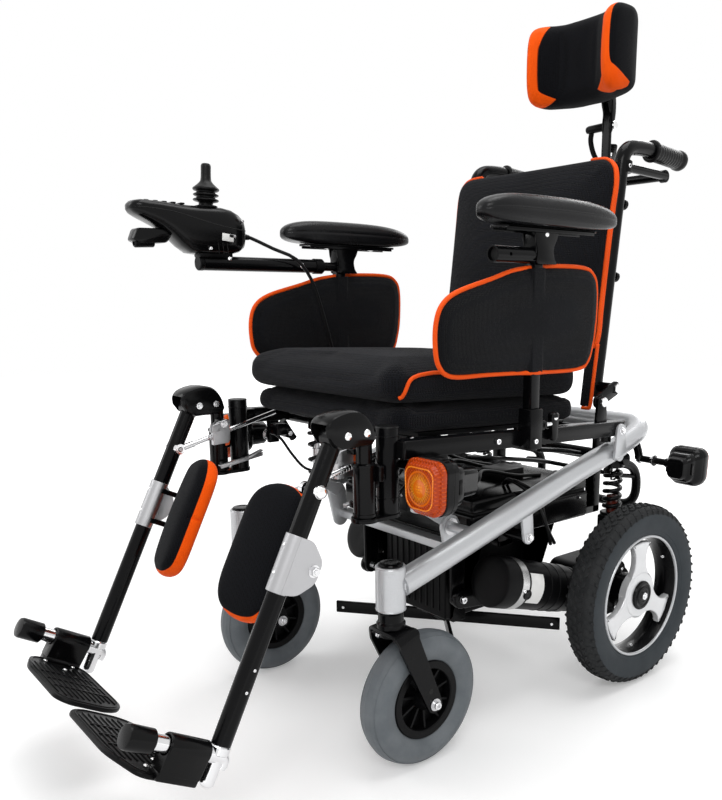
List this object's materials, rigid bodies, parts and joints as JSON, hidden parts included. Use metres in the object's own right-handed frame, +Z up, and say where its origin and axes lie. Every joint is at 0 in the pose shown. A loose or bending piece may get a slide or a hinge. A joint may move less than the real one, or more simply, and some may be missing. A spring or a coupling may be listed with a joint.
{
  "type": "electric wheelchair",
  "caption": "Powered wheelchair with sprung rear drive wheels, swivel casters, swing-away elevating leg rests, headrest and joystick.",
  "frame": {"origin": "centre of the bounding box on the ground", "axes": "+X to the chair's left, the chair faces -Y, +Z up"},
  "size_m": [0.635, 1.1169, 1.1769],
  "materials": {
    "silver_paint": "silver metallic powder coat",
    "black_paint": "gloss black powder coat",
    "black_plastic": "moulded black plastic",
    "soft_plastic": "soft grained black polyurethane",
    "black_fabric": "black spacer mesh with orange piping",
    "tyre_rubber": "black block tread with grey walls",
    "caster_rubber": "smooth grey rubber",
    "amber": "clear amber lens",
    "steel": "bright plated steel",
    "spring_paint": "black coated spring wire"
  },
  "bodies": {
    "base": {"chassis_frame": "silver_paint", "lower_frame": "black_paint", "battery_box": "black_plastic", "seat_frame": "black_paint", "seat_cushion": "black_fabric", "seat_base_pad": "black_fabric", "front_signal_left_housing": "black_plastic", "front_signal_left_lens": "amber", "front_signal_right_housing": "black_plastic", "front_signal_right_lens": "amber", "rear_signal_left_housing": "black_plastic", "rear_signal_left_lens": "amber", "rear_signal_right_housing": "black_plastic", "rear_signal_right_lens": "amber", "front_spring_left": "spring_paint", "front_spring_right": "spring_paint", "rear_spring_left": "spring_paint", "rear_spring_right": "spring_paint", "joystick_cable": "soft_plastic"},
    "back": {"back_frame": "black_paint", "back_cushion": "black_fabric", "handle_grip_left": "soft_plastic", "handle_grip_right": "soft_plastic"},
    "headrest_slider": {"headrest_stem": "black_paint"},
    "headrest": {"headrest_bracket": "black_paint", "headrest_pad": "black_fabric"},
    "drive_left": {"drive_arm_left": "black_paint", "drive_motor_left": "black_paint"},
    "wheel_left": {"rear_wheel_left": "black_plastic", "rear_tyre_left": "tyre_rubber"},
    "caster_fork_left": {"caster_fork_left": "black_paint"},
    "caster_wheel_left": {"caster_hub_left": "black_plastic", "caster_tyre_left": "caster_rubber"},
    "hanger_left": {"legrest_hanger_left": "black_plastic"},
    "leg_left": {"leg_tube_left": "black_paint"},
    "strut_left": {"elevating_strut_left": "steel"},
    "extension_left": {"leg_extension_left": "steel"},
    "footplate_left": {"footplate_left": "black_plastic"},
    "calf_pad_left": {"calf_pad_left": "black_fabric"},
    "armrest_left": {"armrest_bracket_left": "black_paint", "armrest_pad_left": "soft_plastic", "side_panel_left": "black_fabric"},
    "drive_right": {"drive_arm_right": "black_paint", "drive_motor_right": "black_paint"},
    "wheel_right": {"rear_wheel_right": "black_plastic", "rear_tyre_right": "tyre_rubber"},
    "caster_fork_right": {"caster_fork_right": "black_paint"},
    "caster_wheel_right": {"caster_hub_right": "black_plastic", "caster_tyre_right": "caster_rubber"},
    "hanger_right": {"legrest_hanger_right": "black_plastic"},
    "leg_right": {"leg_tube_right": "black_paint"},
    "strut_right": {"elevating_strut_right": "steel"},
    "extension_right": {"leg_extension_right": "steel"},
    "footplate_right": {"footplate_right": "black_plastic"},
    "calf_pad_right": {"calf_pad_right": "black_fabric"},
    "armrest_right": {"armrest_bracket_right": "black_paint", "armrest_pad_right": "soft_plastic", "side_panel_right": "black_fabric"},
    "controller": {"controller": "black_plastic"},
    "joystick": {"joystick": "soft_plastic"}
  },
  "joints": [
    {"name": "suspension_left", "type": "hinge", "parent": "base", "child": "drive_left", "pos_m": [0.118, 0.038, 0.185], "axis": [1, 0, 0], "range_deg": [0, 4], "stiffness_Nm_per_rad": 450, "springref_deg": -12.03, "deforming": ["rear_spring_left"]},
    {"name": "wheel_spin_left", "type": "hinge", "parent": "drive_left", "child": "wheel_left", "pos_m": [0.2464, 0.338, 0.159], "axis": [1, 0, 0], "continuous": true},
    {"name": "caster_swivel_left", "type": "hinge", "parent": "base", "child": "caster_fork_left", "pos_m": [0.2059, -0.1733, 0.245], "axis": [0, 0, 1], "continuous": true},
    {"name": "caster_spin_left", "type": "hinge", "parent": "caster_fork_left", "child": "caster_wheel_left", "pos_m": [0.2059, -0.1223, 0.0997], "axis": [1, 0, 0], "continuous": true},
    {"name": "legrest_swing_left", "type": "hinge", "parent": "base", "child": "hanger_left", "pos_m": [0.2034, -0.214, 0.384], "axis": [0, 0, 1], "range_deg": [0, 90]},
    {"name": "leg_raise_left", "type": "hinge", "parent": "hanger_left", "child": "leg_left", "pos_m": [0.2034, -0.26, 0.495], "axis": [-1, 0, 0], "range_deg": [0, 55]},
    {"name": "strut_turn_left", "type": "hinge", "parent": "leg_left", "child": "strut_left", "pos_m": [0.1835, -0.292, 0.431], "axis": [-1, 0, 0], "range_deg": [-23, 0]},
    {"name": "leg_length_left", "type": "slide", "parent": "leg_left", "child": "extension_left", "axis": [0, -0.4415, -0.8973], "range_m": [0, 0.05]},
    {"name": "footplate_fold_left", "type": "hinge", "parent": "extension_left", "child": "footplate_left", "pos_m": [0.2034, -0.44102, 0.12712], "axis": [0, 0.8572, -0.515], "range_deg": [0, 85]},
    {"name": "calf_pad_swing_left", "type": "hinge", "parent": "leg_left", "child": "calf_pad_left", "pos_m": [0.1794, -0.29909, 0.34762], "axis": [0, -0.4415, -0.8973], "range_deg": [0, 45]},
    {"name": "armrest_height_left", "type": "slide", "parent": "base", "child": "armrest_left", "axis": [0, 0, 1], "range_m": [0, 0.04]},
    {"name": "suspension_right", "type": "hinge", "parent": "base", "child": "drive_right", "pos_m": [-0.118, 0.038, 0.185], "axis": [1, 0, 0], "range_deg": [0, 4], "stiffness_Nm_per_rad": 450, "springref_deg": -12.03, "deforming": ["rear_spring_right"]},
    {"name": "wheel_spin_right", "type": "hinge", "parent": "drive_right", "child": "wheel_right", "pos_m": [-0.2464, 0.338, 0.159], "axis": [1, 0, 0], "continuous": true},
    {"name": "caster_swivel_right", "type": "hinge", "parent": "base", "child": "caster_fork_right", "pos_m": [-0.2059, -0.1733, 0.245], "axis": [0, 0, 1], "continuous": true},
    {"name": "caster_spin_right", "type": "hinge", "parent": "caster_fork_right", "child": "caster_wheel_right", "pos_m": [-0.2059, -0.1223, 0.0997], "axis": [1, 0, 0], "continuous": true},
    {"name": "legrest_swing_right", "type": "hinge", "parent": "base", "child": "hanger_right", "pos_m": [-0.2034, -0.214, 0.384], "axis": [0, 0, -1], "range_deg": [0, 90]},
    {"name": "leg_raise_right", "type": "hinge", "parent": "hanger_right", "child": "leg_right", "pos_m": [-0.2034, -0.26, 0.495], "axis": [-1, 0, 0], "range_deg": [0, 55]},
    {"name": "strut_turn_right", "type": "hinge", "parent": "leg_right", "child": "strut_right", "pos_m": [-0.1835, -0.292, 0.431], "axis": [-1, 0, 0], "range_deg": [-23, 0]},
    {"name": "leg_length_right", "type": "slide", "parent": "leg_right", "child": "extension_right", "axis": [0, -0.4415, -0.8973], "range_m": [0, 0.05]},
    {"name": "footplate_fold_right", "type": "hinge", "parent": "extension_right", "child": "footplate_right", "pos_m": [-0.2034, -0.44102, 0.12712], "axis": [0, -0.8572, 0.515], "range_deg": [0, 85]},
    {"name": "calf_pad_swing_right", "type": "hinge", "parent": "leg_right", "child": "calf_pad_right", "pos_m": [-0.1794, -0.29909, 0.34762], "axis": [0, 0.4415, 0.8973], "range_deg": [0, 45]},
    {"name": "armrest_height_right", "type": "slide", "parent": "base", "child": "armrest_right", "axis": [0, 0, 1], "range_m": [0, 0.04], "deforming": ["joystick_cable"]},
    {"name": "back_recline", "type": "hinge", "parent": "base", "child": "back", "pos_m": [0, 0.261, 0.499], "axis": [-1, 0, 0], "range_deg": [0, 30]},
    {"name": "headrest_height", "type": "slide", "parent": "back", "child": "headrest_slider", "axis": [0, 0, 1], "range_m": [0, 0.06]},
    {"name": "headrest_tilt", "type": "hinge", "parent": "headrest_slider", "child": "headrest", "pos_m": [0, 0.53875, 1.04996], "axis": [1, 0, 0], "range_deg": [-20, 20]},
    {"name": "controller_reach", "type": "slide", "parent": "armrest_right", "child": "controller", "axis": [0, -1, 0], "range_m": [0, 0.06], "deforming": ["joystick_cable"]},
    {"name": "joystick_tilt", "type": "hinge", "parent": "controller", "child": "joystick", "pos_m": [-0.244, -0.195, 0.809], "axis": [1, 0, 0], "range_deg": [-15, 15], "stiffness_Nm_per_rad": 0.3}
  ],
  "couplings": [
    {"joint": "strut_turn_left", "follows": "leg_raise_left", "ratio": -0.404},
    {"joint": "strut_turn_right", "follows": "leg_raise_right", "ratio": -0.404}
  ]
}
